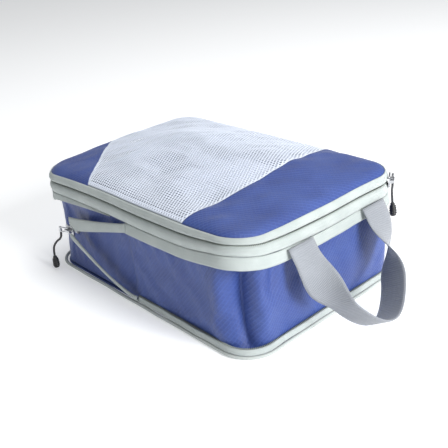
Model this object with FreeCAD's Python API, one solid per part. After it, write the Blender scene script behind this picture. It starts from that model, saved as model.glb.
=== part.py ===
"""Compression packing cube: a soft zipped case with a mesh-window lid, an expansion gusset closed by a second
zipper, a webbing handle and cord pulls on its zipper sliders. Millimetres. The origin is the centre of the
underside of the bottom panel, +X points to the handle end, -Y to the front long side and +Z up."""

import FreeCAD, Part

import math
import os

V = FreeCAD.Vector

# ---- driving dimensions -------------------------------------------------------------------------------------------
RIM_LENGTH, RIM_WIDTH, RIM_CORNER = 264.0, 179.0, 26.0     # outline of the zipper bands
BASE_LENGTH, BASE_WIDTH, BASE_CORNER = 264.0, 179.0, 26.0  # outline of the bottom edge
TAPE = 0.8                  # thickness of zipper tape and of the seam strips
FABRIC = 1.0                # thickness of the nylon panels
COIL = 1.8                  # height and depth of one nylon coil
CHAIN_GAP = 1.2             # gap between the facing edges of two zipper tapes
MAIN_ZIP_Z = 86.5           # height of the lid zipper's closing line
MAIN_TAPE_HEIGHT = 7.6      # visible width of each lid zipper tape
RIM_SEAM_Z = 77.0           # seam of lid zipper, compression zipper and gusset
COMPRESSION_TAPE_HEIGHT = 8.6
LOWER_TAPE_TOP = 8.8
# seams of the mesh window across the lid, from the front to the back
WINDOW_LEFT = [(-46.0, -95.0), (-137.0, 0.0)]   # cuts off the front left corner only
WINDOW_RIGHT = [(70.0, -95.0), (75.0, -10.0), (62.0, 95.0)]
TAPE_SPLIT_X = 0.0          # where the upper compression tape leaves the band on the front side
LOWER_SPLIT_X = 0.0         # where the lower compression tape leaves the bottom edge
LEFT_TRIM_X = -45.0         # where the plain strip round the left end starts on the front side
SLIDER_X, SLIDER_Z = -90.0, 43.0          # parked compression slider
HANDLE_Y, HANDLE_HALF_SPAN = 9.0, 41.5    # middle of the handle and half the distance between its ends
HANDLE_REACH, HANDLE_DROOP = 80.0, 59.0   # length of the loop, and its angle below the horizontal
WEBBING_WIDTH, WEBBING_THICK = 26.0, 1.6
MAIN_SLIDER_ANGLE = 34.0    # where the lid slider is parked on the back right corner, from the right side
COMPRESSION_PULL_ANGLE = 20.0   # how far the pull tabs are turned from lying along the zipper
MAIN_PULL_ANGLE = 176.0
CORD_RADIUS = 1.0

HINGE_LINE_X = RIM_LENGTH / 2 - RIM_CORNER   # the lid zipper ends where the back corners start
LID_EDGE_Z = MAIN_ZIP_Z + CHAIN_GAP / 2 + MAIN_TAPE_HEIGHT
# (rise, inset) of the sections of the crowned lid
LID_SECTIONS = [(0.0, 0.0), (3.2, 3.0), (5.6, 8.0), (7.8, 16.0), (10.2, 28.0), (12.6, 42.0), (14.4, 58.0)]
GUSSET_TOP = (RIM_LENGTH - 10.0, RIM_WIDTH - 10.0, RIM_CORNER - 5.0)
GUSSET_BOTTOM = (BASE_LENGTH - 12.0, BASE_WIDTH - 12.0, BASE_CORNER - 6.0)
PANEL_INSET = 3.0           # bottom panel inside the bottom edge outline
PIPING_RADIUS = 1.8
BIG = 400.0


# ---- helpers --------------------------------------------------------------------------------------------------------
def outline(length, width, radius, z):
    """Closed wire of a rounded rectangle centred on the origin, at height z."""
    hx, hy = length / 2, width / 2
    corners = [(hx - radius, -hy + radius, -90), (hx - radius, hy - radius, 0),
               (-hx + radius, hy - radius, 90), (-hx + radius, -hy + radius, 180)]
    arcs = []
    for cx, cy, start in corners:
        points = []
        for turn in (0, 45, 90):
            angle = math.radians(start + turn)
            points.append(V(cx + radius * math.cos(angle), cy + radius * math.sin(angle), z))
        arcs.append(Part.Arc(*points))
    edges = []
    for i, arc in enumerate(arcs):
        edges.append(arc.toShape())
        edges.append(Part.LineSegment(arc.EndPoint, arcs[(i + 1) % 4].StartPoint).toShape())
    return Part.Wire(edges)


def inset(size, by):
    """A (length, width, radius) outline shrunk by a distance all round."""
    return size[0] - 2 * by, size[1] - 2 * by, max(size[2] - by, 2.0)


def prism(size, low, high):
    """Solid between two heights with a rounded-rectangle outline."""
    return Part.Face(outline(*size, low)).extrude(V(0, 0, high - low))


def ring(size, thickness, low, high):
    """Upright band that follows an outline."""
    return prism(size, low, high).cut(prism(inset(size, thickness), low - 1, high + 1))


def tapered(bottom, top, low, high):
    """Solid that runs straight from one outline to another."""
    return Part.makeLoft([outline(*bottom, low), outline(*top, high)], True, True)


def box(x0, x1, y0, y1, z0, z1):
    return Part.makeBox(x1 - x0, y1 - y0, z1 - z0, V(x0, y0, z0))


def upright(points):
    """Tall prism over a polygon of (x, y) points."""
    corners = [V(x, y, 0) for x, y in points]
    return Part.Face(Part.makePolygon(corners + corners[:1])).extrude(V(0, 0, BIG))


def export(name, *shapes):
    """Writes the solids of one node, and stops if one is not valid."""
    solids = [s for shape in shapes for s in shape.Solids]
    for s in solids:
        if not s.isValid() or s.Volume <= 0:
            raise ValueError(name + " is not a valid solid")
    made = solids[0] if len(solids) == 1 else Part.makeCompound(solids)
    made.exportStep("parts/" + name + ".step")
    print(f"{name}: {len(solids)} solid(s), {sum(s.Volume for s in solids):.0f} mm3")


def bar_loft(sections):
    """Solid through four-cornered sections, each a list of four points."""
    wires = [Part.makePolygon(points + [points[0]]) for points in sections]
    return Part.makeLoft(wires, True, True)


def rounded_route(points, radius_share=0.45):
    """Straight runs joined by tangent arcs, each arc as large as its two runs allow."""
    edges, start = [], points[0]
    for before, corner, after in zip(points, points[1:], points[2:]):
        a, b = (before - corner), (after - corner)
        la, lb = a.Length, b.Length
        a.normalize()
        b.normalize()
        reach = radius_share * min(la, lb)
        turn = math.pi - a.getAngle(b)
        radius = reach / math.tan(turn / 2)
        p, q = corner + a * reach, corner + b * reach
        middle = (a + b)
        middle.normalize()
        bulge = corner + middle * (math.hypot(radius, reach) - radius)
        edges.append(Part.LineSegment(start, p).toShape())
        edges.append(Part.Arc(p, bulge, q).toShape())
        print(f"   cord arc radius {radius:.1f} mm")
        start = q
    edges.append(Part.LineSegment(start, points[-1]).toShape())
    return Part.Wire(edges)


def tube(points, radius):
    """Round cord along a rounded route; its volume is compared with its section times its length."""
    path = rounded_route(points)
    first = points[1] - points[0]
    profile = Part.Wire(Part.makeCircle(radius, points[0], first))
    solid = path.makePipeShell([profile], True, True)
    expected = math.pi * radius ** 2 * path.Length
    print(f"   cord length {path.Length:.1f} mm, volume ratio {solid.Volume / expected:.3f}")
    return solid


# ---- regions of the outline ----------------------------------------------------------------------------------------
def on_hinge_line(z0, z1):
    """The straight back side, where the lid is joined to the frame."""
    return box(-HINGE_LINE_X, HINGE_LINE_X, RIM_WIDTH / 2 - 12, BIG, z0, z1)


def compression_run(split_x, z0, z1):
    """Front side right of split_x, the right side and the back side: where the compression zipper runs level."""
    left_end = -(RIM_LENGTH / 2 - RIM_CORNER)
    front = box(split_x, BIG, -BIG, 0, z0, z1)
    back = box(left_end, BIG, 0, BIG, z0, z1)
    return front.fuse(back)


# ---- tray: bottom panel, lower zipper tape, gusset -------------------------------------------------------------------
def make_tray():
    base = (BASE_LENGTH, BASE_WIDTH, BASE_CORNER)
    panel = inset(base, PANEL_INSET)
    panel_top = 1.2
    export("bottom_panel", prism(panel, 0, panel_top))

    path = outline(*base, 2.0)
    start = path.Edges[0].Vertexes[0].Point
    tangent = path.Edges[0].tangentAt(path.Edges[0].FirstParameter)
    cord = path.makePipeShell([Part.Wire(Part.makeCircle(PIPING_RADIUS, start, tangent))], True, True)
    flange = ring(inset(base, 1.5), 5.5, panel_top, panel_top + 0.6)
    export("bottom_piping", cord.fuse(flange).removeSplitter())

    seam = panel_top + 0.6
    gusset_foot = inset(GUSSET_BOTTOM, FABRIC)
    export("bottom_seam_binding", ring(gusset_foot, 4.0, seam, seam + 1.2))

    tape_foot = 2.0 + PIPING_RADIUS + 0.1
    run = compression_run(LOWER_SPLIT_X, 0, BIG)
    export("compression_tape_lower", ring(base, TAPE, tape_foot, LOWER_TAPE_TOP).common(run))
    coil = ring(inset(base, TAPE), COIL, LOWER_TAPE_TOP - COIL, LOWER_TAPE_TOP)
    export("compression_coil_lower", coil.common(run))

    wall_top = RIM_SEAM_Z - 1.0
    outer = tapered(GUSSET_BOTTOM, GUSSET_TOP, seam, wall_top)
    inner = tapered(gusset_foot, inset(GUSSET_TOP, FABRIC), seam, wall_top)
    export("gusset_panel", outer.cut(inner))

    # the lower tape climbs from the bottom edge to the parked slider
    sections = []
    steps = 8
    for i in range(steps + 1):
        t = i / steps
        rise = t * t * (3 - 2 * t)
        x = LOWER_SPLIT_X - 0.2 + (SLIDER_X - 4.0 - LOWER_SPLIT_X) * t
        face = -BASE_WIDTH / 2 - (RIM_WIDTH - BASE_WIDTH) / 2 * rise
        low = tape_foot + (SLIDER_Z - CHAIN_GAP / 2 - 7.5 - tape_foot) * rise
        high = LOWER_TAPE_TOP + (SLIDER_Z - CHAIN_GAP / 2 - LOWER_TAPE_TOP) * rise
        sections.append([V(x, face, low), V(x, face, high), V(x, face + TAPE, high), V(x, face + TAPE, low)])
    export("compression_tape_end_lower", bar_loft(sections))


# ---- lid frame: the band of zipper tapes ------------------------------------------------------------------------------
def make_frame():
    rim = (RIM_LENGTH, RIM_WIDTH, RIM_CORNER)
    coil_line = inset(rim, TAPE)
    zip_low = MAIN_ZIP_Z - CHAIN_GAP / 2
    band_low, band_high = RIM_SEAM_Z + 0.1, zip_low
    band = ring(rim, TAPE, band_low, band_high)
    back = on_hinge_line(0, BIG)
    export("main_tape_lower", band.cut(back))
    export("hinge_strip_lower", band.common(back))
    export("main_coil_lower", ring(coil_line, COIL, zip_low - COIL, zip_low).cut(back))

    tape_top = RIM_SEAM_Z - 0.1
    tape_foot = tape_top - COMPRESSION_TAPE_HEIGHT
    run = compression_run(TAPE_SPLIT_X, 0, BIG)
    export("compression_tape_upper", ring(rim, TAPE, tape_foot, tape_top).common(run))
    export("compression_coil_upper", ring(coil_line, COIL, tape_foot, tape_foot + COIL).common(run))
    export("rim_seam_binding", ring(inset(rim, TAPE + 0.1), 6.0, RIM_SEAM_Z - 0.9, RIM_SEAM_Z + 0.3))

    # a plain strip closes the band round the left end, behind the free end of the zipper
    left_end = -HINGE_LINE_X
    around_left = box(-BIG, LEFT_TRIM_X, -BIG, 0, 0, BIG).fuse(box(-BIG, left_end - 1, 0, BIG, 0, BIG))
    strip = ring(inset(rim, TAPE + 0.1), TAPE, tape_foot + 1.0, RIM_SEAM_Z - 1.0)
    export("left_trim_strip", strip.common(around_left))

    # the upper tape drops from the band to the parked slider
    face = -RIM_WIDTH / 2
    sections = []
    steps = 8
    for i in range(steps + 1):
        t = i / steps
        drop = t * t * (3 - 2 * t)
        x = TAPE_SPLIT_X - 0.2 + (SLIDER_X - 4.0 - TAPE_SPLIT_X) * t
        low = tape_foot + (SLIDER_Z + CHAIN_GAP / 2 - tape_foot) * drop
        high = tape_top + (SLIDER_Z + CHAIN_GAP / 2 + 12.0 - tape_top) * drop
        sections.append([V(x, face, low), V(x, face, high), V(x, face + TAPE, high), V(x, face + TAPE, low)])
    export("compression_tape_end_upper", bar_loft(sections))

    # sewn tails of the handle, inside the frame behind the seam
    inside = RIM_LENGTH / 2 - TAPE
    for name, side in (("handle_tail_front", -1), ("handle_tail_back", 1)):
        middle = HANDLE_Y + side * HANDLE_HALF_SPAN
        half = WEBBING_WIDTH / 2
        export(name, box(inside - WEBBING_THICK, inside, middle - half, middle + half,
                         RIM_SEAM_Z + 0.4, zip_low - COIL - 0.2))


# ---- lid --------------------------------------------------------------------------------------------------------------
def crown(shrink):
    """Solid under the crowned lid, from its edge upwards, shrunk by a wall thickness."""
    rim = (RIM_LENGTH - 2 * shrink, RIM_WIDTH - 2 * shrink, RIM_CORNER - shrink)
    wires = [outline(*inset(rim, step), LID_EDGE_Z + rise - shrink) for rise, step in LID_SECTIONS]
    return Part.makeLoft(wires, True, True)


def make_lid():
    rim = (RIM_LENGTH, RIM_WIDTH, RIM_CORNER)
    zip_high = MAIN_ZIP_Z + CHAIN_GAP / 2
    band = ring(rim, TAPE, zip_high, LID_EDGE_Z - 0.1)
    back = on_hinge_line(0, BIG)
    export("main_tape_upper", band.cut(back))
    export("hinge_strip_upper", band.common(back))
    export("main_coil_upper", ring(inset(rim, TAPE), COIL, zip_high, zip_high + COIL).cut(back))

    below_edge = box(-BIG, BIG, -BIG, BIG, 0, LID_EDGE_Z)
    shell = crown(0).cut(crown(FABRIC)).cut(below_edge)
    window = upright(WINDOW_LEFT + [(-BIG, 95.0)] + WINDOW_RIGHT[::-1])
    left = upright(WINDOW_LEFT + [(-BIG, 0.0), (-BIG, -95.0)])
    export("lid_mesh_window", shell.common(window))
    export("lid_panel_left", shell.common(left))
    export("lid_panel_right", shell.common(upright(WINDOW_RIGHT + [(BIG, 95.0), (BIG, -95.0)])))
    export("lid_seam_binding", ring(inset(rim, TAPE + 0.1), 5.0, LID_EDGE_Z - 1.4, LID_EDGE_Z - 0.2))

    # seam allowances of the two window seams, under the lid
    lining = crown(FABRIC + 0.1).cut(crown(FABRIC + 0.9)).cut(below_edge)
    for name, seam, allowance in (("window_seam_left", WINDOW_LEFT, -8.0), ("window_seam_right", WINDOW_RIGHT, 8.0)):
        far_edge = [(x + allowance, y) for x, y in reversed(seam)]
        export(name, lining.common(upright(seam + far_edge)))


# ---- handle -----------------------------------------------------------------------------------------------------------
def make_handle():
    """A webbing loop. Its ends lie flat on the band, and it turns edge-on at the bottom of the loop."""
    droop = math.radians(HANDLE_DROOP)
    root = V(RIM_LENGTH / 2 + 1.6, HANDLE_Y, RIM_SEAM_Z + 0.4)
    along = V(math.cos(droop), 0, -math.sin(droop))
    out = V(math.sin(droop), 0, math.cos(droop))
    across = V(0, 1, 0)
    steps = 20
    line = []
    for i in range(steps + 1):
        angle = math.pi * i / steps
        y = -HANDLE_HALF_SPAN * math.cos(angle) * (0.75 + 0.25 * math.cos(angle) ** 2)
        e = HANDLE_REACH * math.sin(angle) ** 0.8
        line.append(root + across * y + along * e)
    sections = []
    for i, point in enumerate(line):
        before, after = line[max(i - 1, 0)], line[min(i + 1, steps)]
        tangent = along * (1 if i == 0 else -1) if i in (0, steps) else (after - before)
        tangent.normalize()
        exterior = tangent.cross(out)
        if exterior.dot(point - (root + along * HANDLE_REACH * 0.4)) < 0:
            exterior = exterior * -1
        share = min(1.0, max(0.0, (math.sin(math.pi * i / steps) - 0.06) / 0.60))
        twist = math.pi / 2 * share * share * (3 - 2 * share)
        normal = out * math.cos(twist) + exterior * math.sin(twist)
        width = normal.cross(tangent)
        w, n = width * (WEBBING_WIDTH / 2), normal * (WEBBING_THICK / 2)
        sections.append([point + w + n, point - w + n, point - w - n, point + w - n])
    export("handle_webbing", bar_loft(sections))


# ---- sliders and pulls --------------------------------------------------------------------------------------------------
PIN_X, PIN_Y = -1.2, -3.1     # pull tab's pin, in the slider's own frame
TAB_LENGTH = 8.0


def slider_body():
    """Die-cast slider in its own frame: x along the zipper, -y outwards, the tapes' outer face at y = 0."""
    half_length, half_height = 6.0, 4.6
    outer = box(-half_length, half_length, -2.0, -0.7, -half_height, half_height)
    inner = box(-half_length, half_length, TAPE + COIL + 1.0, TAPE + COIL + 2.1, -half_height, half_height)
    neck = box(2.8, 5.6, -0.8, TAPE + COIL + 1.1, -0.4, 0.4)
    crown_block = box(-4.2, 4.2, -5.2, -1.9, -1.1, 1.1)
    slot = box(-2.4, 2.4, -4.1, -2.01, -3, 3)
    plates = outer.makeFillet(1.5, [e for e in outer.Edges if abs(e.tangentAt(0).y) > 0.9])
    inside = inner.makeFillet(1.5, [e for e in inner.Edges if abs(e.tangentAt(0).y) > 0.9])
    return plates.fuse([inside, neck, crown_block.cut(slot)]).removeSplitter()


def pull_tab():
    """Metal bail through the slider's crown, in the slider's frame with its pin at the origin, along -x."""
    pin = Part.makeCylinder(0.6, 4.8, V(0, 0, -2.4), V(0, 0, 1))
    arms = [box(-TAB_LENGTH, 0.7, -0.6, 0.6, z, z + 0.8) for z in (-2.4, 1.6)]
    end = box(-TAB_LENGTH - 1.6, -TAB_LENGTH + 0.2, -0.9, 0.9, -2.4, 2.4)
    return pin.fuse(arms + [end]).removeSplitter()


CORD_ROUTE = [V(0, 0, -0.1), V(0, 0, -6), V(-7.5, -1, -11), V(-12, -1.5, -18.5), V(-12.5, -1, -26.5)]
END_LENGTH = 12.0


def pull_pieces():
    """(tab, cord, moulded end) in the pin's frame. The cord hangs from the underside of the tab's end bar."""
    top = V(-TAB_LENGTH - 0.7, 0, -2.4)
    points = [top + p for p in CORD_ROUTE]
    cord = tube(points, CORD_RADIUS)
    direction = points[-1] - points[-2]
    direction.normalize()
    collar = Part.makeCylinder(1.8, 2.5, points[-1], direction)
    grip = Part.makeCone(2.2, 3.1, END_LENGTH - 2.5, points[-1] + direction * 2.5, direction)
    return pull_tab(), cord, collar.fuse(grip).removeSplitter()


def place(shape, turn, position):
    """A copy turned about +Z and moved to its place."""
    made = shape.copy()
    made.rotate(V(0, 0, 0), V(0, 0, 1), turn)
    made.translate(position)
    return made


def make_slider(name, turn, position, pull_angle):
    """One slider with its pull. turn is the turn about +Z from the front side to the side it sits on."""
    export(name + "_slider", place(slider_body(), turn, position))
    pin = V(PIN_X, PIN_Y, 0)
    for suffix, piece in zip(("_pull_tab", "_pull_cord", "_pull_end"), pull_pieces()):
        angled = piece.copy()
        angled.rotate(V(0, 0, 0), V(0, 0, 1), pull_angle)
        angled.translate(pin)
        export(name + suffix, place(angled, turn, position))


def make_sliders():
    make_slider("compression", 0, V(SLIDER_X, -RIM_WIDTH / 2, SLIDER_Z), COMPRESSION_PULL_ANGLE)
    angle = math.radians(MAIN_SLIDER_ANGLE)
    corner = V(RIM_LENGTH / 2 - RIM_CORNER, RIM_WIDTH / 2 - RIM_CORNER, MAIN_ZIP_Z)
    parked = corner + V(math.cos(angle), math.sin(angle), 0) * RIM_CORNER
    make_slider("main", MAIN_SLIDER_ANGLE + 90, parked, MAIN_PULL_ANGLE)


os.makedirs("parts", exist_ok=True)
make_tray()
make_frame()
make_lid()
make_handle()
make_sliders()
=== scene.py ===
import math

import bmesh
import bpy
import numpy as np
from mathutils import Matrix, Vector


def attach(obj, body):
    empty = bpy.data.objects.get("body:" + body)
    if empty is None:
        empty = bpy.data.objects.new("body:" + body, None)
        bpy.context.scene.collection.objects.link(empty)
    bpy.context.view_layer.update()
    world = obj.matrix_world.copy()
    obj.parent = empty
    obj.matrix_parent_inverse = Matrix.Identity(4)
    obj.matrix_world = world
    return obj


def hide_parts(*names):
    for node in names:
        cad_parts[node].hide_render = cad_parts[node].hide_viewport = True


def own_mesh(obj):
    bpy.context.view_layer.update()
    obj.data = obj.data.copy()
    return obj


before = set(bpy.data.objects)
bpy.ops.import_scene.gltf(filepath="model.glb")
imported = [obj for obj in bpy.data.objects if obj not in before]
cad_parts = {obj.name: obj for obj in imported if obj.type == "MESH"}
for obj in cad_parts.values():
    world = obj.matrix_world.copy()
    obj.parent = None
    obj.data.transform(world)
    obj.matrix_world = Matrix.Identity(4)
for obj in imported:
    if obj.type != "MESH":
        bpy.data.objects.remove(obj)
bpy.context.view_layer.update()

scene = bpy.context.scene

# ---- Studio ----------------------------------------------------------------------------------------------------
# A plain white table and soft light, brighter from the handle side. The camera looks down on the corner between
# the front and the handle end.
eye = Vector((0.4410, -0.3626, 0.3123))
aim = Vector((0.0122, 0.0018, 0.0431))
back = (eye - aim).normalized()
level = Vector((0, 0, 1)).cross(back).normalized()
roll = math.radians(-5.46)
right = level * math.cos(roll) + back.cross(level) * math.sin(roll)
upward = back.cross(right)
camera_data = bpy.data.cameras.new("camera")
camera_data.lens = 57.7
camera_data.sensor_width = 36.0
camera_data.clip_start = 0.01
camera = bpy.data.objects.new("camera", camera_data)
camera.matrix_world = Matrix((
    (right.x, upward.x, back.x, eye.x),
    (right.y, upward.y, back.y, eye.y),
    (right.z, upward.z, back.z, eye.z),
    (0, 0, 0, 1),
))
scene.collection.objects.link(camera)
scene.camera = camera
scene.view_settings.view_transform = "Standard"

world = bpy.data.worlds.new("studio")
world.use_nodes = True
world.node_tree.nodes["Background"].inputs["Color"].default_value = (0.96, 0.98, 1.0, 1)
world.node_tree.nodes["Background"].inputs["Strength"].default_value = 0.31
scene.world = world


def soft_light(name, place, size, power):
    """Square area light that faces the middle of the case."""
    lamp = bpy.data.lights.new(name, "AREA")
    lamp.shape = "SQUARE"
    lamp.size = size
    lamp.energy = power
    made = bpy.data.objects.new(name, lamp)
    made.location = place
    made.rotation_euler = (Vector(place) - Vector((0, 0, 0.06))).to_track_quat("Z", "Y").to_euler()
    scene.collection.objects.link(made)


soft_light("light_right", (1.35, 0.10, 0.70), 0.55, 24)
soft_light("light_top", (0.1, 0.45, 1.5), 0.9, 10)
soft_light("light_front", (-0.9, -1.2, 0.7), 0.7, 0.8)


def node(tree, kind, inputs=None, **settings):
    """Adds a shader node. An input is a number or colour, or the socket that feeds it."""
    made = tree.nodes.new(kind)
    for key, value in settings.items():
        setattr(made, key, value)
    for key, value in (inputs or {}).items():
        if isinstance(value, bpy.types.NodeSocket):
            tree.links.new(value, made.inputs[key])
        else:
            made.inputs[key].default_value = value
    return made


def finish_of(name, roughness, **constants):
    """New material with its node tree and its shader; constants are sockets of the shader itself."""
    material = bpy.data.materials.new(name)
    material.use_nodes = True
    tree = material.node_tree
    shader = tree.nodes["Principled BSDF"]
    shader.inputs["Roughness"].default_value = roughness
    for key, value in constants.items():
        shader.inputs[key.replace("_", " ")].default_value = value
    return material, tree, shader


def bands(tree, where, period, direction="X"):
    """Soft stripes with the given period in metres."""
    wave = node(tree, "ShaderNodeTexWave", {"Vector": where, "Scale": 0.31416 / period},
                wave_type="BANDS", bands_direction=direction)
    return wave.outputs["Fac"]


def maths(tree, operation, *values):
    """One arithmetic node; a value is a number or a socket."""
    made = node(tree, "ShaderNodeMath", operation=operation)
    for i, value in enumerate(values):
        if isinstance(value, bpy.types.NodeSocket):
            tree.links.new(value, made.inputs[i])
        else:
            made.inputs[i].default_value = value
    return made.outputs[0]


def tint(tree, shader, low, high, by):
    """Base colour that runs between two colours with a factor."""
    mixed = node(tree, "ShaderNodeMix", data_type="RGBA")
    tree.links.new(by, mixed.inputs[0])
    mixed.inputs[6].default_value = (*low, 1)
    mixed.inputs[7].default_value = (*high, 1)
    tree.links.new(mixed.outputs[2], shader.inputs["Base Color"])


def relief(tree, shader, height, distance, strength=1.0):
    """Bump whose full height is the distance, in metres."""
    bump = node(tree, "ShaderNodeBump", {"Height": height, "Distance": distance, "Strength": strength})
    tree.links.new(bump.outputs["Normal"], shader.inputs["Normal"])


table_mesh = bpy.data.meshes.new("table")
table_mesh.from_pydata([(-4, -4, 0), (4, -4, 0), (4, 4, 0), (-4, 4, 0)], [], [(0, 1, 2, 3)])
table = bpy.data.objects.new("table", table_mesh)
scene.collection.objects.link(table)
table_finish, _, table_shader = finish_of("white table", 0.9)
table_shader.inputs["Base Color"].default_value = (0.93, 0.94, 0.95, 1)
table_shader.inputs["Emission Color"].default_value = (1, 1, 1, 1)
table_shader.inputs["Emission Strength"].default_value = 0.30
table_mesh.materials.append(table_finish)

# ---- Pull cords ------------------------------------------------------------------------------------------------
# Each slider has a short length of 2 mm black braided cord. It leaves the end bar of the metal tab and hangs down
# into a moulded end.
pull_drop = np.array([(0, 0, -0.1), (0, 0, -6), (-7.5, -1, -11), (-12, -1.5, -18.5), (-12.5, -1, -26.5)])
pull_drop = (pull_drop + (-8.7, 0, -2.4)) / 1000
pin_place = np.array((-0.0012, -0.0031, 0))


def turned(points, degrees):
    """Points turned about +Z."""
    c, s = math.cos(math.radians(degrees)), math.sin(math.radians(degrees))
    return points @ np.array([[c, s, 0], [-s, c, 0], [0, 0, 1]])


braid, braid_tree, braid_shader = finish_of("black braided cord", 0.75, Sheen_Weight=0.3)
braid_where = node(braid_tree, "ShaderNodeTexCoord").outputs["Object"]
braid_turn = node(braid_tree, "ShaderNodeMapping", {"Vector": braid_where, "Rotation": (0.6, 0.6, 0.3)})
braid_back = node(braid_tree, "ShaderNodeMapping", {"Vector": braid_where, "Rotation": (-0.6, -0.6, 0.3)})
braid_one = bands(braid_tree, braid_turn.outputs[0], 0.0011, "Z")
braid_two = bands(braid_tree, braid_back.outputs[0], 0.0011, "Z")
braid_height = maths(braid_tree, "MAXIMUM", braid_one, braid_two)
tint(braid_tree, braid_shader, (0.008, 0.008, 0.01), (0.035, 0.035, 0.04), braid_height)
relief(braid_tree, braid_shader, braid_height, 0.0003)

rubber, rubber_tree, rubber_shader = finish_of("black moulded plastic", 0.42)
rubber_where = node(rubber_tree, "ShaderNodeTexCoord").outputs["Object"]
rubber_grain = node(rubber_tree, "ShaderNodeTexNoise", {"Vector": rubber_where, "Scale": 900.0}).outputs["Fac"]
tint(rubber_tree, rubber_shader, (0.008, 0.008, 0.009), (0.022, 0.022, 0.024), rubber_grain)
relief(rubber_tree, rubber_shader, rubber_grain, 0.0001, 0.5)


def surface(name, points, finish, uv=None, along=False, around=False, caps=False, hard=False):
    """Mesh from a grid of points, rows along and columns across. A closed direction joins its last row to its first;
    uv then has one more row or column. caps closes the two ends of a tube."""
    rows, cols = points.shape[:2]
    r = np.arange(rows if along else rows - 1)[:, None]
    c = np.arange(cols if around else cols - 1)[None, :]
    r1, c1 = (r + 1) % rows, (c + 1) % cols
    corners = np.stack([r * cols + c, r1 * cols + c, r1 * cols + c1, r * cols + c1], -1).reshape(-1, 4)
    faces = corners.tolist()
    if caps:
        faces.append(list(range(cols)))
        faces.append(list(range(rows * cols - 1, (rows - 1) * cols - 1, -1)))
    mesh = bpy.data.meshes.new(name)
    mesh.from_pydata(points.reshape(-1, 3).tolist(), [], faces)
    mesh.polygons.foreach_set("use_smooth", np.full(len(faces), not hard))
    if uv is not None:
        grid = np.stack([uv[r, c], uv[r + 1, c], uv[r + 1, c + 1], uv[r, c + 1]], -2).reshape(-1, 2)
        values = np.zeros((len(mesh.loops), 2))
        values[:len(grid)] = grid
        mesh.uv_layers.new(name="UVMap").data.foreach_set("uv", values.ravel())
    mesh.materials.append(finish)
    made = bpy.data.objects.new(name, mesh)
    scene.collection.objects.link(made)
    return made


def lathe(name, start, direction, distance, radius, finish, sides=24):
    """Turned solid: circles of the given radii at distances along a direction, closed at both ends."""
    d = direction / np.linalg.norm(direction)
    side = np.cross(d, (0, 1, 0.3))
    side /= np.linalg.norm(side)
    other = np.cross(side, d)
    angle = np.linspace(0, 2 * np.pi, sides, endpoint=False)[None, :, None]
    ring = np.cos(angle) * side + np.sin(angle) * other
    points = start + distance[:, None, None] * d + radius[:, None, None] * ring
    return surface(name, points, finish, around=True, caps=True)


def hang_cord(name, place, turn, pull_angle, body):
    """The cord of one pull and its ribbed moulded end."""
    route = turned(turned(pull_drop, pull_angle) + pin_place, turn) + place
    curve = bpy.data.curves.new(name, "CURVE")
    curve.dimensions = "3D"
    curve.bevel_depth = 0.001
    curve.bevel_resolution = 4
    curve.use_fill_caps = True
    spline = curve.splines.new("NURBS")
    spline.points.add(len(route) - 1)
    spline.points.foreach_set("co", np.column_stack([route, np.ones(len(route))]).ravel())
    spline.order_u = 3
    spline.use_endpoint_u = True
    spline.resolution_u = 12
    curve.materials.append(braid)
    made = bpy.data.objects.new(name.replace("pull_cord", "braided_cord"), curve)
    scene.collection.objects.link(made)
    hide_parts(name)
    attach(made, body)
    run = np.linspace(0, 0.012, 40)
    ribs = 0.00035 * np.clip(np.sin(run / 0.0022 * 2 * np.pi), -0.4, 1) * (run > 0.003) * (run < 0.0108)
    body_radius = np.interp(run, [0, 0.0005, 0.0020, 0.0030, 0.0090, 0.0114, 0.012],
                            [0.0013, 0.0019, 0.0019, 0.0026, 0.0029, 0.0026, 0.0014])
    end = lathe(name.replace("pull_cord", "moulded_end"), route[-1], route[-1] - route[-2], run,
                body_radius + ribs, rubber)
    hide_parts(name.replace("cord", "end"))
    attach(end, body)


compression_place = np.array((-0.090, -0.0895, 0.043))
parked_at = math.radians(34)
corner_radius = 0.026
main_x = 0.106 + corner_radius * math.cos(parked_at)
main_y = 0.0635 + corner_radius * math.sin(parked_at)
main_place = np.array((main_x, main_y, 0.0865))
hang_cord("compression_pull_cord", compression_place, 0, 20, "compression_pull")
hang_cord("main_pull_cord", main_place, 124, 176, "main_pull")

# ---- Bottom panel and piping -----------------------------------------------------------------------------------
# The bottom is one sheet of blue ripstop nylon. Its edge is bound with a pale tape folded over a filler cord, and a
# second binding covers the seam inside.
base_size = np.array((0.264, 0.179, 0.026))


def outline(t, size):
    """Point and outward direction on a rounded rectangle of length, width and corner radius. t runs from 0 to 8: even
    steps are the straight front, right, back and left sides, odd steps are the corners that follow them."""
    length, width, radius = size
    hx, hy = length / 2 - radius, width / 2 - radius
    centres = np.array([(-hx, -hy), (hx, -hy), (hx, hy), (-hx, hy), (-hx, -hy)])
    part = t - np.floor(t)
    step = np.floor(t).astype(int) % 8
    side = step // 2
    moved = np.where(step % 2 == 0, part, 1.0)[:, None]
    middle = centres[side] + (centres[side + 1] - centres[side]) * moved
    angle = np.pi / 2 * (side - 1 + np.where(step % 2 == 1, part, 0.0))
    out = np.column_stack([np.cos(angle), np.sin(angle)])
    return middle + radius * out, out


def round_steps(size, spacing):
    """Values of t all the way round, about evenly spaced."""
    length, width, radius = size
    parts = [length - 2 * radius, radius * np.pi / 2, width - 2 * radius, radius * np.pi / 2] * 2
    return np.concatenate([i + np.linspace(0, 1, max(int(p / spacing), 2), endpoint=False)
                           for i, p in enumerate(parts)])


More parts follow.
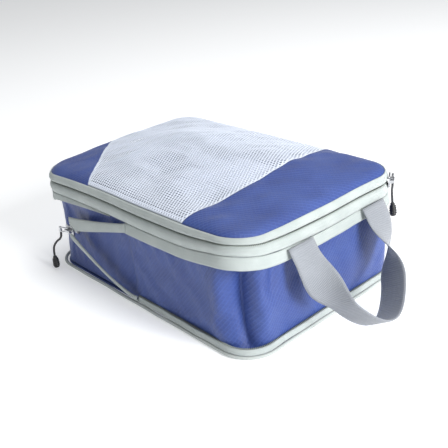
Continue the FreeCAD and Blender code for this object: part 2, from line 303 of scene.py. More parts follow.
def ripples(a, b, wavelength, seed, count=9):
    """Irregular waves between -1 and 1: a sum of sines in seeded directions, near one wavelength."""
    rng = np.random.default_rng(seed)
    heading = rng.uniform(0, np.pi, count)
    pitch = 2 * np.pi / wavelength * rng.uniform(0.6, 1.5, count)
    phase = rng.uniform(0, 2 * np.pi, count)
    total = sum(np.sin(k * (a * np.cos(h) + b * np.sin(h)) + p) for k, h, p in zip(pitch, heading, phase))
    return total / count * 1.6


def nylon(name, low, high, sheen):
    """Ripstop nylon: fine plain weave with a diamond grid of thicker threads, and a soft coated gloss."""
    material, tree, shader = finish_of(name, 0.42, Sheen_Weight=sheen, Sheen_Roughness=0.35)
    flat = node(tree, "ShaderNodeUVMap", uv_map="UVMap").outputs[0]
    turn = (0, 0, math.radians(38))
    diagonal = node(tree, "ShaderNodeMapping", {"Vector": flat, "Rotation": turn}).outputs[0]
    one = maths(tree, "POWER", bands(tree, diagonal, 0.0029, "X"), 5.0)
    two = maths(tree, "POWER", bands(tree, diagonal, 0.0029, "Y"), 7.0)
    thick = maths(tree, "MAXIMUM", one, maths(tree, "MULTIPLY", two, 0.6))
    warp = maths(tree, "MULTIPLY", bands(tree, flat, 0.00055, "X"), bands(tree, flat, 0.00055, "Y"))
    height = maths(tree, "ADD", thick, maths(tree, "MULTIPLY", warp, 0.4))
    cloud = node(tree, "ShaderNodeTexNoise", {"Vector": flat, "Scale": 28.0, "Detail": 5.0}).outputs["Fac"]
    shade = maths(tree, "ADD", maths(tree, "MULTIPLY", thick, 0.28), maths(tree, "MULTIPLY", cloud, 0.72))
    tint(tree, shader, low, high, shade)
    relief(tree, shader, height, 0.00022, 0.8)
    return material


def binding_tape(name, low, high):
    """Folded binding: fine cross ribs over a soft colour change."""
    material, tree, shader = finish_of(name, 0.78, Sheen_Weight=0.2)
    flat = node(tree, "ShaderNodeUVMap", uv_map="UVMap").outputs[0]
    ribs = bands(tree, flat, 0.0009, "X")
    cloud = node(tree, "ShaderNodeTexNoise", {"Vector": flat, "Scale": 60.0, "Detail": 4.0}).outputs["Fac"]
    tint(tree, shader, low, high, maths(tree, "ADD", maths(tree, "MULTIPLY", ribs, 0.3),
                                        maths(tree, "MULTIPLY", cloud, 0.6)))
    relief(tree, shader, ribs, 0.00018, 0.8)
    return material


blue_cloth = nylon("blue ripstop nylon", (0.015, 0.033, 0.180), (0.070, 0.130, 0.410), 0.10)
pale_binding = binding_tape("pale binding tape", (0.42, 0.46, 0.44), (0.66, 0.70, 0.68))


def swept(name, t, size, profile, finish, closed=True, lift=None, spread=None):
    """Strip of one cross-section carried along a rounded rectangle. profile is a closed line of (outward, up) pairs,
    anticlockwise. lift moves a section up, or each of its points when it has a column for each; spread moves a section
    outward."""
    around, out = outline(t, size)
    lift = np.zeros((len(t), 1)) if lift is None else lift.reshape(len(t), -1)
    spread = np.zeros(len(t)) if spread is None else spread
    offset = profile[None, :, 0] + spread[:, None]
    xy = around[:, None, :] + out[:, None, :] * offset[..., None]
    z = profile[None, :, 1] + lift
    points = np.concatenate([xy, z[..., None]], -1)
    steps = np.linalg.norm(np.diff(around, axis=0, append=around[:1]), axis=1)
    sides = np.linalg.norm(np.diff(profile, axis=0, append=profile[:1]), axis=1)
    run = np.concatenate([[0], np.cumsum(steps)])
    girth = np.concatenate([[0], np.cumsum(sides)])
    rows = len(t) + 1 if closed else len(t)
    uv = np.stack(np.meshgrid(run[:rows], girth, indexing="ij"), -1)
    return surface(name, points, finish, uv, along=closed, around=True, caps=not closed)


def circle(radius_out, radius_up, out, up, count=14):
    """Closed round or oval cross-section, anticlockwise."""
    a = np.linspace(0, 2 * np.pi, count, endpoint=False)
    return np.column_stack([out + radius_out * np.cos(a), up + radius_up * np.sin(a)])


def strip(out, up, thickness):
    """Closed cross-section of a tape whose outer face runs through the given points, from bottom to top."""
    line = np.column_stack([out, up])
    direction = np.gradient(line, axis=0)
    direction /= np.linalg.norm(direction, axis=1)[:, None]
    inward = np.column_stack([-direction[:, 1], direction[:, 0]])
    inner = (line + inward * thickness)[::-1]
    return np.concatenate([line, inner])


base_t = round_steps(base_size, 0.003)
base_xy, _ = outline(base_t, base_size)
base_wave = 0.0005 * ripples(base_xy[:, 0], base_xy[:, 1], 0.05, 3)


def half_width(x, size):
    """Half the width of a rounded rectangle at x."""
    length, width, radius = size
    past = np.clip(np.abs(x) - (length / 2 - radius), 0, radius)
    return width / 2 - radius + np.sqrt(radius ** 2 - past ** 2)


panel_size = base_size - (0.006, 0.006, 0.003)
panel_x = panel_size[0] / 2 * np.sin(np.linspace(-np.pi / 2, np.pi / 2, 120))[:, None]
panel_y = np.linspace(1, -1, 90)[None, :] * half_width(panel_x, panel_size)
inside = 1 - np.maximum(np.abs(panel_x) / 0.129, np.abs(panel_y) / 0.0865)
panel_z = 0.0005 + 0.0012 * np.clip(ripples(panel_x, panel_y, 0.06, 5), -0.3, 1) * np.clip(inside * 4, 0, 1)
panel_points = np.stack(np.broadcast_arrays(panel_x, panel_y, panel_z), -1)
bottom = surface("bottom_cloth", panel_points, blue_cloth, panel_points[..., :2].copy())
thick = bottom.modifiers.new("cloth thickness", "SOLIDIFY")
thick.thickness = 0.0006
thick.offset = -1
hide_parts("bottom_panel")
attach(bottom, "tray")

piping = swept("edge_piping", base_t, base_size, circle(0.0015, 0.0013, 0, 0.0016), pale_binding,
               spread=base_wave)
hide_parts("bottom_piping")
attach(piping, "tray")

inner_binding = swept("inner_bottom_binding", base_t, base_size - (0.012, 0.012, 0.006),
                      circle(0.0030, 0.0010, -0.002, 0.0036), pale_binding)
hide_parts("bottom_seam_binding")
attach(inner_binding, "tray")

# ---- Gusset ----------------------------------------------------------------------------------------------------
# The tall wall between the bottom and the lid frame is one strip of nylon, cut longer than the frame needs. Its
# slack falls into a deep fold at the front right corner, smaller ones at the other corners, and puckers under the
# belt.
rim_size = np.array((0.264, 0.179, 0.026))
foot_size = base_size - (0.008, 0.008, 0.004)
head_size = rim_size - (0.006, 0.006, 0.003)
foot_z, head_z = 0.0030, 0.0762


def bump(a, middle, width):
    """Bell curve of height one."""
    return np.exp(-((a - middle) / width) ** 2)


def belt_lift(x, y, z):
    """Rise and fall of the belt: it stands up at the front right corner, more along its lower edge, droops at the
    front left one, and waves a little between them."""
    corner_rise = np.interp(z, [0.068, 0.077, 0.0865, 0.095], [0.0066, 0.0078, 0.0056, 0.0026])
    droop = np.interp(z, [0.068, 0.095], [0.0016, 0.0036])
    near = np.exp(-((x - 0.118) ** 2 + (y + 0.084) ** 2) / 0.036 ** 2)
    left = np.exp(-((x + 0.125) ** 2 + (y + 0.080) ** 2) / 0.050 ** 2)
    return corner_rise * near - droop * left + 0.0006 * ripples(x, y, 0.08, 31) - 0.0008 * (z < 0.080)


wall_t = round_steps(rim_size, 0.0030)
wall_h = np.linspace(0, 1, 30)
foot_xy, _ = outline(wall_t, foot_size)
head_xy, head_out = outline(wall_t, head_size)
h = wall_h[None, :]
run = np.cumsum(np.linalg.norm(np.diff(head_xy, axis=0, prepend=head_xy[:1]), axis=1))[:, None]
around_total = run[-1] + 0.003
belly = np.sin(np.pi * h) ** 0.7
push = belly * (0.0006 + 0.0012 * ripples(run, h * 0.05, 0.16, 11)) - 0.0018 * belly * (run < 0.100)
fold_at = 0.231 - 0.006 * (1 - h) * h * 4
push = push - 0.0150 * np.exp(-(np.abs(run - fold_at) / 0.0085) ** 1.3) * np.sin(np.pi * h) ** 0.5
push += 0.0036 * bump(run, fold_at - 0.022 + 0.006 * h, 0.009) * belly
push += 0.0030 * bump(run, fold_at + 0.020, 0.009) * belly
push -= 0.0042 * bump(run, 0.258 - 0.016 * (1 - h), 0.0055) * bump(h, 0.80, 0.26)
push += 0.0026 * bump(run, 0.385, 0.030) * belly * (1.3 - h)
push -= 0.0060 * (bump(run, 0.0, 0.022) + bump(run, around_total, 0.022)) * belly
push -= 0.0050 * (bump(run, 0.654, 0.014) + bump(run, 0.400, 0.010)) * belly
for start, slant in ((0.118, 0.020), (0.133, 0.024), (0.150, 0.020), (0.176, 0.012), (0.300, -0.014)):
    push += 0.0019 * bump(run, start + slant * (1 - h), 0.0042) * bump(h, 0.90, 0.22)
push += 0.0010 * ripples(run + h * 0.02, h * 0.050, 0.034, 12) * belly
straight_xy = foot_xy[:, None] * (1 - h[..., None]) + head_xy[:, None] * h[..., None]
wall_xy = straight_xy + head_out[:, None] * push[..., None]
head_rise = belt_lift(head_xy[:, 0], head_xy[:, 1], 0.077)[:, None]
wall_z = foot_z + (head_z + head_rise - foot_z) * h
wall_points = np.concatenate([wall_xy, wall_z[..., None]], -1)
wall_uv = np.stack(np.broadcast_arrays(np.append(run, around_total)[:, None], h * 0.084), -1)
wall = surface("gusset_cloth", wall_points, blue_cloth, wall_uv, along=True)


def settle(made, held, growth, pressure, frames, limit):
    """Lets a cloth wrinkle between its held points: it grows a little and swells under a light pressure. No point
    moves further than the limit."""
    group = made.vertex_groups.new(name="held")
    group.add(held, 1.0, "REPLACE")
    cloth = made.modifiers.new("cloth", "CLOTH")
    cloth.settings.quality = 6
    cloth.settings.mass = 0.12
    cloth.settings.tension_stiffness = 20
    cloth.settings.compression_stiffness = 20
    cloth.settings.shear_stiffness = 8
    cloth.settings.bending_stiffness = 0.5
    cloth.settings.air_damping = 4
    cloth.settings.vertex_group_mass = "held"
    cloth.settings.shrink_min = -growth
    cloth.settings.use_pressure = True
    cloth.settings.uniform_pressure_force = pressure
    cloth.settings.effector_weights.gravity = 0
    cloth.collision_settings.use_collision = False
    cloth.point_cache.frame_start = 1
    cloth.point_cache.frame_end = frames
    for moment in range(1, frames + 1):
        scene.frame_set(moment)
    settled = made.evaluated_get(bpy.context.evaluated_depsgraph_get()).to_mesh()
    after = np.empty(len(settled.vertices) * 3)
    settled.vertices.foreach_get("co", after)
    before = np.empty(len(made.data.vertices) * 3)
    made.data.vertices.foreach_get("co", before)
    moved = (after - before).reshape(-1, 3)
    distance = np.linalg.norm(moved, axis=1)[:, None]
    moved *= limit * np.tanh(distance / limit) / np.maximum(distance, 1e-9)
    made.modifiers.remove(cloth)
    made.vertex_groups.clear()
    made.data.vertices.foreach_set("co", before + moved.ravel())
    made.data.update()
    scene.frame_set(1)


wall_count = len(wall_t) * len(wall_h)
held = [i for i in range(wall_count) if i % len(wall_h) in (0, 1, 2, len(wall_h) - 2, len(wall_h) - 1)]
settle(wall, held, 0.012, 0.10, 22, 0.0018)
smooth = wall.modifiers.new("smooth cloth", "SUBSURF")
smooth.levels = 1
smooth.render_levels = 1
thick = wall.modifiers.new("cloth thickness", "SOLIDIFY")
thick.thickness = 0.0005
thick.offset = -1
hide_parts("gusset_panel")
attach(wall, "tray")
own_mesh(wall)

# ---- Compression zipper, lower half ----------------------------------------------------------------------------
# A pale woven tape is sewn to the bottom edge on three sides, with its nylon coil on the inner face. On the front
# it leaves the edge and climbs to the slider that is parked near the left corner.


def zipper_tape(name, low, high):
    """Woven zipper tape: fine herringbone ribs with a smooth woven edge."""
    material, tree, shader = finish_of(name, 0.72, Sheen_Weight=0.25)
    flat = node(tree, "ShaderNodeUVMap", uv_map="UVMap").outputs[0]
    split = node(tree, "ShaderNodeSeparateXYZ", {"Vector": flat}).outputs
    zigzag = maths(tree, "ADD", split["X"], maths(tree, "PINGPONG", split["Y"], 0.0012))
    ribs = maths(tree, "SINE", maths(tree, "MULTIPLY", zigzag, 2 * math.pi / 0.0009))
    cloud = node(tree, "ShaderNodeTexNoise", {"Vector": flat, "Scale": 45.0, "Detail": 4.0}).outputs["Fac"]
    shade = maths(tree, "ADD", maths(tree, "MULTIPLY", ribs, 0.10), cloud)
    tint(tree, shader, low, high, shade)
    relief(tree, shader, ribs, 0.00016, 0.8)
    return material


tape_cloth = zipper_tape("grey green zipper tape", (0.40, 0.46, 0.45), (0.64, 0.69, 0.67))
coil_plastic, coil_tree, coil_shader = finish_of("nylon coil", 0.38)
coil_where = node(coil_tree, "ShaderNodeTexCoord").outputs["Object"]
coil_grain = node(coil_tree, "ShaderNodeTexNoise", {"Vector": coil_where, "Scale": 300.0}).outputs["Fac"]
tint(coil_tree, coil_shader, (0.26, 0.30, 0.26), (0.42, 0.46, 0.42), coil_grain)


def coil(name, t, size, inset, height, radius):
    """Nylon coil: a thin filament wound round a line that follows a rounded rectangle, one turn per 1.4 mm. height is
    one number, or one for each step of t."""
    centre, out = outline(t, size)
    centre = centre - out * inset
    length = np.concatenate([[0], np.cumsum(np.linalg.norm(np.diff(centre, axis=0), axis=1))])
    turns = int(length[-1] / 0.0014)
    s = np.linspace(0, length[-1], turns * 8)
    line = np.column_stack([np.interp(s, length, centre[:, 0]), np.interp(s, length, centre[:, 1])])
    side = np.column_stack([np.interp(s, length, out[:, 0]), np.interp(s, length, out[:, 1])])
    side /= np.linalg.norm(side, axis=1)[:, None]
    level = np.interp(s, length, np.broadcast_to(height, len(t)))
    wind = s / 0.0014 * 2 * np.pi
    filament = np.column_stack([line + side * (radius * np.cos(wind))[:, None], level + radius * np.sin(wind)])
    tangent = np.gradient(filament, axis=0)
    tangent /= np.linalg.norm(tangent, axis=1)[:, None]
    normal = np.column_stack([side * np.cos(wind)[:, None], np.sin(wind)])
    other = np.cross(normal, tangent)
    a = np.linspace(0, 2 * np.pi, 5, endpoint=False)[None, :, None]
    points = filament[:, None] + 0.00032 * (np.cos(a) * normal[:, None] + np.sin(a) * other[:, None])
    return surface(name, points, coil_plastic, around=True, caps=True)


def part_of(t, start, stop):
    """The steps between two values of t, with both ends."""
    inside = t[(t > start + 0.004) & (t < stop - 0.004)]
    return np.concatenate([[start], inside, [stop]])


lower_t = part_of(base_t, 0.5, 5.0)
tape_up = np.linspace(0.0036, 0.0080, 6)
lower_tape = swept("lower_compression_tape", lower_t, base_size,
                   strip(-0.0014 * np.linspace(0, 1, 6) ** 1.5, tape_up, 0.0008), tape_cloth, closed=False,
                   spread=0.0005 * ripples(*outline(lower_t, base_size)[0].T, 0.04, 21))
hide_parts("compression_tape_lower")
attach(lower_tape, "tray")
lower_coil = coil("lower_compression_coil", lower_t, base_size, 0.0026, 0.0074, 0.0007)
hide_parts("compression_coil_lower")
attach(lower_coil, "tray")


def loose_tape(name, x, face, low, high, lean, finish):
    """Free length of tape along the front, from its left end: its lower and upper edges are curves of x, its upper
    edge leans out of the wall by lean, and it is 0.8 mm thick."""
    v = np.linspace(1, 0, 7)[None, :]
    z = low[:, None] * (1 - v) + high[:, None] * v
    curl = 0.0008 * np.sin(np.pi * v) + lean[:, None] * v
    outer = np.stack(np.broadcast_arrays(x[:, None], face[:, None] - curl, z), -1)
    inner = outer[:, ::-1] + (0, 0.0008, 0)
    points = np.concatenate([outer[:, ::-1], inner[:, ::-1]], 1)
    sides = np.linalg.norm(np.diff(points[0], axis=0, prepend=points[0][:1]), axis=1)
    girth = np.append(np.cumsum(sides), 0.02)
    uv = np.stack(np.meshgrid(x - x[0], girth, indexing="ij"), -1)
    return surface(name, points, finish, uv, around=True, caps=True)


end_part = np.linspace(1, 0, 44)
end_rise = 0.75 * end_part + 0.25 * end_part ** 2 * (3 - 2 * end_part)
end_x = 0.0002 - 0.0945 * end_part
lower_end = loose_tape("loose_end_lower", end_x, -0.0895 - 0.0028 * np.sin(np.pi * end_part) ** 0.5,
                       0.0036 + 0.0300 * end_rise, 0.0086 + 0.0334 * end_rise,
                       0.0020 * np.sin(np.pi * end_part) ** 0.6, tape_cloth)
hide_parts("compression_tape_end_lower")
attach(lower_end, "tray")
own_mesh(lower_end)

# ---- Lid frame -------------------------------------------------------------------------------------------------
# The frame is the belt of zipper tapes round the top of the gusset. The lower tape of the lid zipper, the upper tape
# of the compression zipper and the gusset are sewn together in one seam, bound inside. The back of the belt has no
# coil and is the lid's hinge.
belt_t = round_steps(rim_size, 0.002)


def belt_rise(t, profile):
    """Lift of each point of a belt strip."""
    xy, _ = outline(t % 8, rim_size)
    return belt_lift(xy[:, :1], xy[:, 1:], profile[None, :, 1])


lower_face_z = np.linspace(0.0772, 0.0860, 10)
lower_face_swell = 0.0011 * np.sin(np.linspace(0.1, np.pi, 10)) ** 1.2
lower_face_out = lower_face_swell - 0.0004 - 0.0012 * np.linspace(0, 1, 10) ** 8
zip_t = np.concatenate([part_of(belt_t, 5.0, 7.999), 8 + part_of(belt_t, 0.0, 4.0)])
hinge_t = part_of(belt_t, 4.0, 5.0)
lower_face = strip(lower_face_out, lower_face_z, 0.0008)
for name, t, node_name in (("lid_zip_tape_lower", zip_t, "main_tape_lower"),
                           ("hinge_tape_lower", hinge_t, "hinge_strip_lower")):
    tape = swept(name, t, rim_size, lower_face, tape_cloth, closed=False, lift=belt_rise(t, lower_face))
    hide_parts(node_name)
    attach(tape, "lid_frame")

zip_xy, _ = outline(zip_t % 8, rim_size)
frame_coil = coil("frame_zip_coil", zip_t, rim_size, 0.0019, 0.0852 + belt_lift(*zip_xy.T, 0.0852), 0.0007)
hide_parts("main_coil_lower")
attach(frame_coil, "lid_frame")

upper_t = part_of(belt_t, 0.5, 5.0)
flap_z = np.linspace(0.0683, 0.0769, 9)
flap_out = 0.0016 * np.linspace(1, 0, 9) ** 1.5 + 0.0005 * np.sin(np.linspace(0, np.pi, 9)) - 0.0002
flap_face = strip(flap_out, flap_z, 0.0008)
upper_xy, _ = outline(upper_t, rim_size)
flap = swept("upper_compression_tape", upper_t, rim_size, flap_face, tape_cloth, closed=False,
             lift=belt_rise(upper_t, flap_face), spread=0.0004 * ripples(*upper_xy.T, 0.03, 33))
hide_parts("compression_tape_upper")
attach(flap, "lid_frame")
flap_coil_z = 0.0698 + belt_lift(*upper_xy.T, 0.0698)
flap_coil = coil("upper_compression_zip_coil", upper_t, rim_size, 0.0013, flap_coil_z, 0.0007)
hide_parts("compression_coil_upper")
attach(flap_coil, "lid_frame")

trim_t = np.concatenate([part_of(belt_t, 5.0, 7.999), 8 + part_of(belt_t, 0.0, 0.40)])
trim_face = strip(np.linspace(0.0004, -0.0002, 6), np.linspace(0.0690, 0.0769, 6), 0.0008)
trim_share = 1 - 0.94 * np.clip((trim_t - 7.9) / 0.5, 0, 1)[:, None]
trim_lift = (0.0769 - trim_face[None, :, 1]) * (1 - trim_share) + belt_rise(trim_t, trim_face)
trim = swept("left_end_trim", trim_t, rim_size, trim_face, tape_cloth, closed=False, lift=trim_lift)
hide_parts("left_trim_strip")
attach(trim, "lid_frame")

binding_face = circle(0.0028, 0.0008, -0.0058, 0.0770)
rim_binding = swept("inner_rim_binding", belt_t, rim_size, binding_face, pale_binding,
                    lift=belt_rise(belt_t, binding_face))
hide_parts("rim_seam_binding")
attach(rim_binding, "lid_frame")

tongue_part = np.linspace(1, 0, 50)
tongue_drop = tongue_part ** 0.9
tongue_x = 0.0000 - 0.089 * tongue_part
tongue_rise = belt_lift(tongue_x, np.full(50, -0.0895), 0.0700) * (1 - tongue_part)
tongue_low = 0.0683 - 0.0262 * tongue_drop ** 1.12 + tongue_rise
tongue_high = 0.0767 - 0.0205 * tongue_drop ** 0.95 + tongue_rise
tongue = loose_tape("loose_end_upper", tongue_x, -0.0900 - 0.0010 * np.sin(np.pi * tongue_part), tongue_low,
                    tongue_high, 0.0004 + 0.0006 * tongue_part, tape_cloth)
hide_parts("compression_tape_end_upper")
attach(tongue, "lid_frame")
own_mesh(tongue)

# ---- Lid -------------------------------------------------------------------------------------------------------
# The lid is three panels joined by two seams: blue nylon at the left and right, and a white mesh window between
# them. The upper zipper tape is sewn round its edge.
lid_edge_z = 0.0947
upper_face_z = np.linspace(0.0871, lid_edge_z, 10)
upper_face_out = 0.0006 * np.sin(np.linspace(0, np.pi, 10)) - 0.0019 * np.linspace(0, 1, 10) ** 1.8
upper_face_out -= 0.0012 * np.linspace(1, 0, 10) ** 8
upper_face = strip(upper_face_out, upper_face_z, 0.0008)
for name, t, node_name in (("lid_zip_tape_upper", zip_t, "main_tape_upper"),
                           ("hinge_tape_upper", hinge_t, "hinge_strip_upper")):
    tape = swept(name, t, rim_size, upper_face, tape_cloth, closed=False, lift=belt_rise(t, upper_face))
    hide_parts(node_name)
    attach(tape, "lid")

lid_coil = coil("lid_zip_coil", zip_t, rim_size, 0.0019, 0.0879 + belt_lift(*zip_xy.T, 0.0879), 0.0007)
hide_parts("main_coil_upper")
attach(lid_coil, "lid")

hem_face = circle(0.0024, 0.0007, -0.0052, 0.0936)
lid_binding = swept("inner_lid_binding", belt_t, rim_size, hem_face, pale_binding,
                    lift=belt_rise(belt_t, hem_face))
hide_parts("lid_seam_binding")
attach(lid_binding, "lid")

lid_size = rim_size - (0.0048, 0.0048, 0.0024)


def lid_height(x, y):
    """Crown of the lid: a quick roll at its edge, then a long rise to a ridge behind the middle that falls away to
    both ends, with shallow hollows where the contents have sunk."""
    length, width, radius = lid_size
    qx, qy = np.abs(x) - (length / 2 - radius), np.abs(y) - (width / 2 - radius)
    outside = np.hypot(np.maximum(qx, 0), np.maximum(qy, 0))
    inside = np.minimum(np.maximum(qx, qy), 0)
    depth = np.clip(radius - outside - inside, 0, 1)
    roll = 0.0044 * (1 - np.exp(-depth / 0.0045))
    slope = np.where(y < 0.020, 0.060, 0.043)
    ridge = 0.0112 * bump(y, 0.020, slope) * np.exp(-((x - 0.008) / 0.098) ** 4) * (1 - np.exp(-depth / 0.008))
    hollows = 0.0011 * ripples(x, y, 0.070, 41) * (1 - np.exp(-depth / 0.015))
    creases = 0.0005 * ripples(x, y, 0.022, 42) * (1 - np.exp(-depth / 0.006))
    edge = belt_lift(x, y, lid_edge_z) * np.exp(-depth / 0.035)
    return lid_edge_z - 0.0005 + edge + roll + ridge + hollows + creases


def window_edge(y, side):
    """Where a window seam lies. The left one runs straight across the front left corner to the end of the lid."""
    if side < 0:
        return np.maximum(-0.052 - 0.975 * (y + 0.0871), -lid_size[0] / 2)
    return 0.070 + 0.005 * np.sin(np.pi * (y + 0.088) / 0.150) - 0.006 * np.clip(y / 0.088, 0, 1) ** 2


def lid_panel(name, points, node_name):
    """One nylon panel of the lid from a grid of (x, y) points."""
    crowned = np.concatenate([points, lid_height(points[..., 0], points[..., 1])[..., None]], -1)
    panel = surface(name, crowned, blue_cloth, points)
    joined = bmesh.new()
    joined.from_mesh(panel.data)
    bmesh.ops.remove_doubles(joined, verts=joined.verts, dist=0.00002)
    joined.to_mesh(panel.data)
    joined.free()
    thick = panel.modifiers.new("cloth thickness", "SOLIDIFY")
    thick.thickness = 0.0006
    thick.offset = -1
    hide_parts(node_name)
    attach(panel, "lid")


def seam_tape(name, line, node_name):
    """Tape under a window seam: a strip 7 mm wide along a line of (x, y) points, just under the lid."""
    direction = np.gradient(line, axis=0)
    direction /= np.linalg.norm(direction, axis=1)[:, None]
    aside = np.column_stack([direction[:, 1], -direction[:, 0]])
    flat = line[:, None] + aside[:, None] * np.linspace(0.0035, -0.0035, 9)[None, :, None]
    points = np.concatenate([flat, lid_height(flat[..., 0], flat[..., 1])[..., None] - 0.0012], -1)
    seam = surface(name, points, pale_binding, flat[..., ::-1].copy())
    thick = seam.modifiers.new("tape thickness", "SOLIDIFY")
    thick.thickness = 0.0006
    thick.offset = -1
    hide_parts(node_name)
    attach(seam, "lid")


corner_t = np.linspace(6.5656, 8.2547, 120)
corner_edge, _ = outline(corner_t, lid_size)
corner_seam = corner_edge[:1] + (corner_edge[-1:] - corner_edge[:1]) * ((corner_t - 6.5656) / 1.6891)[:, None]
corner_share = np.linspace(0, 1, 60)[None, :, None]
lid_panel("lid_cloth_left", corner_edge[:, None] * (1 - corner_share) + corner_seam[:, None] * corner_share,
          "lid_panel_left")
seam_tape("window_seam_tape_left", corner_seam[::-1][3:-3], "window_seam_left")

v = np.linspace(-1, 1, 150)[None, :]
ease = (1 - np.cos(np.linspace(0, np.pi / 2, 80)))[::-1, None]
seam_at = window_edge(v * lid_size[1] / 2, 1)
panel_x = lid_size[0] / 2 + (seam_at - lid_size[0] / 2) * ease
panel_y = v * half_width(panel_x, lid_size)
lid_panel("lid_cloth_right", np.stack([panel_x, panel_y], -1), "lid_panel_right")
seam_y = np.linspace(-1, 1, 200) * (lid_size[1] / 2 - 0.0010)
seam_tape("window_seam_tape_right", np.column_stack([window_edge(seam_y, 1), seam_y]), "window_seam_right")

yarn, yarn_tree, yarn_shader = finish_of("white knitted mesh", 0.7, Sheen_Weight=0.3)
yarn_where = node(yarn_tree, "ShaderNodeTexCoord").outputs["Object"]
yarn_noise = node(yarn_tree, "ShaderNodeTexNoise",
                  {"Vector": yarn_where, "Scale": 900.0, "Detail": 3.0}).outputs["Fac"]
tint(yarn_tree, yarn_shader, (0.62, 0.68, 0.82), (0.80, 0.86, 0.96), yarn_noise)
relief(yarn_tree, yarn_shader, yarn_noise, 0.00015, 0.8)


def knitted_net(name, pitch, hole):
    """Mesh cloth: a lattice of hexagonal cells, each with a six-sided hole. Points past the seams are held on them."""
    reach = lid_size[1] / 2 - 0.0006
    columns = np.arange(int(0.214 / pitch))
    rows = np.arange(int(0.180 / (pitch * 0.866)))
    cx = (-0.132 + columns[None, :] * pitch + (rows[:, None] % 2) * pitch / 2).ravel()
    cy = np.repeat(-0.0895 + rows * pitch * 0.866, len(columns))
    keep = (cx > window_edge(cy, -1) - pitch * 0.4) & (cx < window_edge(cy, 1) + pitch * 0.4)
    cx, cy = cx[keep], cy[keep]
    angle = np.arange(6) * np.pi / 3 + np.pi / 6
    corner = pitch / 3 ** 0.5
    outer = np.stack([cx[:, None] + corner * np.cos(angle), cy[:, None] + corner * np.sin(angle)], -1)
    border = np.minimum(np.minimum(cx - window_edge(cy, -1), window_edge(cy, 1) - cx), reach - np.abs(cy))
    size = hole * np.clip((border - 0.0005) / 0.003, 0.15, 1)
    size = size[:, None]
    inner = np.stack([cx[:, None] + size * np.cos(angle), cy[:, None] + size * np.sin(angle)], -1)
    flat = np.concatenate([outer, inner], 1).reshape(-1, 2)
    flat[:, 1] = np.clip(flat[:, 1], -reach, reach)
    flat[:, 0] = np.clip(flat[:, 0], window_edge(flat[:, 1], -1), window_edge(flat[:, 1], 1))
    flat[:, 1] = np.clip(flat[:, 1], -reach, half_width(flat[:, 0], lid_size) - 0.0006)
    places = np.round(flat / 0.00001).astype(int)
    _, first, index = np.unique(places, axis=0, return_index=True, return_inverse=True)
    index = index.reshape(-1)
    spots = flat[first]
    i = np.arange(6)
    j = (i + 1) % 6
    ring = np.stack([i, j, j + 6, i + 6], -1)
    faces = index[(np.arange(len(cx)) * 12)[:, None, None] + ring[None]].reshape(-1, 4)
    x, y = spots[faces, 0], spots[faces, 1]
    area = np.abs(np.sum(x * np.roll(y, -1, axis=1) - np.roll(x, -1, axis=1) * y, axis=1)) / 2
    faces = faces[area > 1e-9]
    mesh = bpy.data.meshes.new(name)
    z = lid_height(spots[:, 0], spots[:, 1]) - 0.0004
    mesh.from_pydata(np.column_stack([spots, z]).tolist(), [], faces.tolist())
    mesh.validate()
    mesh.polygons.foreach_set("use_smooth", np.ones(len(mesh.polygons), bool))
    mesh.materials.append(yarn)
    made = bpy.data.objects.new(name, mesh)
    scene.collection.objects.link(made)
    return made


window = knitted_net("window_mesh", 0.0028, 0.00112)
thick = window.modifiers.new("yarn thickness", "SOLIDIFY")
thick.thickness = 0.0004
thick.offset = 0
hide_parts("lid_mesh_window")
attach(window, "lid")

# ---- Packed clothes --------------------------------------------------------------------------------------------
# The case is filled with folded white clothes, which show through the mesh. They are one padded form, squashed
# with the case. Dark blotches in their colour are painted shade, standing in for the shade inside the case.
linen, linen_tree, linen_shader = finish_of("white folded cotton with painted shade", 0.9, Sheen_Weight=0.3)
linen_where = node(linen_tree, "ShaderNodeTexCoord").outputs["Object"]
linen_fold = node(linen_tree, "ShaderNodeMapping",
                  {"Vector": linen_where, "Scale": (0.55, 1.5, 1.0), "Rotation": (0, 0, 0.35)}).outputs[0]
linen_noise = node(linen_tree, "ShaderNodeTexNoise",
                   {"Vector": linen_fold, "Scale": 24.0, "Detail": 3.0}).outputs["Fac"]
# Painted shade: dark blotches mixed into the white cotton colour, where the shade inside the case shows through the
# mesh.
linen_painted_shade = maths(linen_tree, "MULTIPLY", maths(linen_tree, "SUBTRACT", linen_noise, 0.43), 11.0)
tint(linen_tree, linen_shader, (0.26, 0.29, 0.38), (0.84, 0.87, 0.96), linen_painted_shade)
relief(linen_tree, linen_shader, linen_noise, 0.0008)
fill_size = (0.232, 0.146, 0.024)
fill_t = round_steps(fill_size, 0.003)
fill_angle = np.linspace(0, np.pi, 64)
fill_xy = outline(fill_t, fill_size)[0][:, None] * (np.sin(fill_angle) ** 0.35)[None, :, None]
fill_top = lid_height(fill_xy[..., 0], fill_xy[..., 1]) - 0.0024
fill_top -= 0.0030 * np.clip(ripples(fill_xy[..., 0], fill_xy[..., 1], 0.045, 51), 0, 1)
fill_z = 0.006 + (fill_top - 0.006) * (0.5 - 0.5 * np.cos(fill_angle))[None, :]
fill_points = np.concatenate([fill_xy, fill_z[..., None]], -1)
fill = surface("packed_clothes", fill_points, linen, along=True)
closing = bmesh.new()
closing.from_mesh(fill.data)
bmesh.ops.remove_doubles(closing, verts=closing.verts, dist=0.0004)
closing.to_mesh(fill.data)
closing.free()
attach(fill, "tray")
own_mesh(fill)

# ---- Handle ----------------------------------------------------------------------------------------------------
# The handle is a loop of 26 mm grey webbing. Its two ends are sewn into the seam under the belt, flat against the
# case, and it turns edge-on at the bottom of the loop.


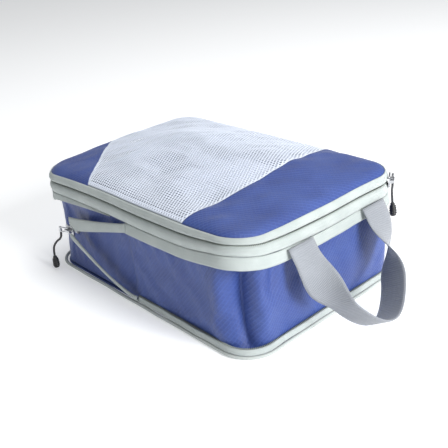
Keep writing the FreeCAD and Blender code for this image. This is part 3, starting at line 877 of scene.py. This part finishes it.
def webbing(name, low, high):
    """Plain woven webbing: ribs across, fine warp threads along, and a denser edge."""
    material, tree, shader = finish_of(name, 0.62, Sheen_Weight=0.35)
    flat = node(tree, "ShaderNodeUVMap", uv_map="UVMap").outputs[0]
    ribs = bands(tree, flat, 0.0016, "X")
    warp = bands(tree, flat, 0.0011, "Y")
    height = maths(tree, "MULTIPLY", ribs, warp)
    cloud = node(tree, "ShaderNodeTexNoise", {"Vector": flat, "Scale": 35.0, "Detail": 4.0}).outputs["Fac"]
    tint(tree, shader, low, high, maths(tree, "ADD", maths(tree, "MULTIPLY", height, 0.35),
                                        maths(tree, "MULTIPLY", cloud, 0.65)))
    relief(tree, shader, height, 0.0003, 0.9)
    return material


grey_webbing = webbing("grey webbing", (0.20, 0.215, 0.24), (0.35, 0.37, 0.41))
droop = math.radians(59)
root = np.array((0.1336, 0.009, 0.0774))
along = np.array((math.cos(droop), 0, -math.sin(droop)))
outward = np.array((math.sin(droop), 0, math.cos(droop)))
loop_angle = np.linspace(0, np.pi, 160)
loop_y = -0.0415 * np.cos(loop_angle) * (0.75 + 0.25 * np.cos(loop_angle) ** 2)
loop_e = 0.080 * np.sin(loop_angle) ** 0.8
loop = root + loop_y[:, None] * np.array((0, 1, 0)) + loop_e[:, None] * along
tangent = np.gradient(loop, axis=0)
tangent[0], tangent[-1] = along, -along
tangent /= np.linalg.norm(tangent, axis=1)[:, None]
exterior = np.cross(tangent, outward)
facing = np.sum(exterior * (loop - (root + along * 0.03)), axis=1)
exterior *= np.where(facing < 0, -1, 1)[:, None]
share = np.clip((np.sin(loop_angle) - 0.06) / 0.60, 0, 1)
twist = np.pi / 2 * share ** 2 * (3 - 2 * share)
normal = outward * np.cos(twist)[:, None] + exterior * np.sin(twist)[:, None]
width = np.cross(normal, tangent)
w = np.concatenate([np.linspace(-1, 1, 13), np.linspace(1, -1, 13)])
n = np.concatenate([np.full(13, 1.0), np.full(13, -1.0)]) * (1 - 0.7 * np.abs(w) ** 12)
half_webbing, half_thick = 0.013, 0.0008
across = width[:, None] * (w * half_webbing)[None, :, None]
through = normal[:, None] * (n * half_thick)[None, :, None]
loop_points = loop[:, None] + across + through
loop_run = np.concatenate([[0], np.cumsum(np.linalg.norm(np.diff(loop, axis=0), axis=1))])
loop_girth = np.append(w * half_webbing, -half_webbing)
handle = surface("handle_loop", loop_points, grey_webbing,
                 np.stack(np.meshgrid(loop_run, loop_girth, indexing="ij"), -1), around=True, caps=True)
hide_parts("handle_webbing")
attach(handle, "handle")
for tail in ("handle_tail_front", "handle_tail_back"):
    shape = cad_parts[tail]
    shape.data.materials.clear()
    shape.data.materials.append(grey_webbing)

# ---- Sliders ---------------------------------------------------------------------------------------------------
# Sliders and tabs are die-cast zinc with a bright nickel plate, a little dulled by handling. Their shapes are exact
# already, so they only get their finish.
nickel, nickel_tree, nickel_shader = finish_of("nickel plate", 0.3, Metallic=1.0)
nickel_where = node(nickel_tree, "ShaderNodeTexCoord").outputs["Object"]
nickel_noise = node(nickel_tree, "ShaderNodeTexNoise",
                    {"Vector": nickel_where, "Scale": 400.0, "Detail": 6.0}).outputs["Fac"]
tint(nickel_tree, nickel_shader, (0.42, 0.43, 0.45), (0.72, 0.73, 0.75), nickel_noise)
relief(nickel_tree, nickel_shader, nickel_noise, 0.00005, 0.4)
for part in ("compression_slider", "compression_pull_tab", "main_slider", "main_pull_tab"):
    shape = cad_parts[part]
    shape.data.materials.clear()
    shape.data.materials.append(nickel)
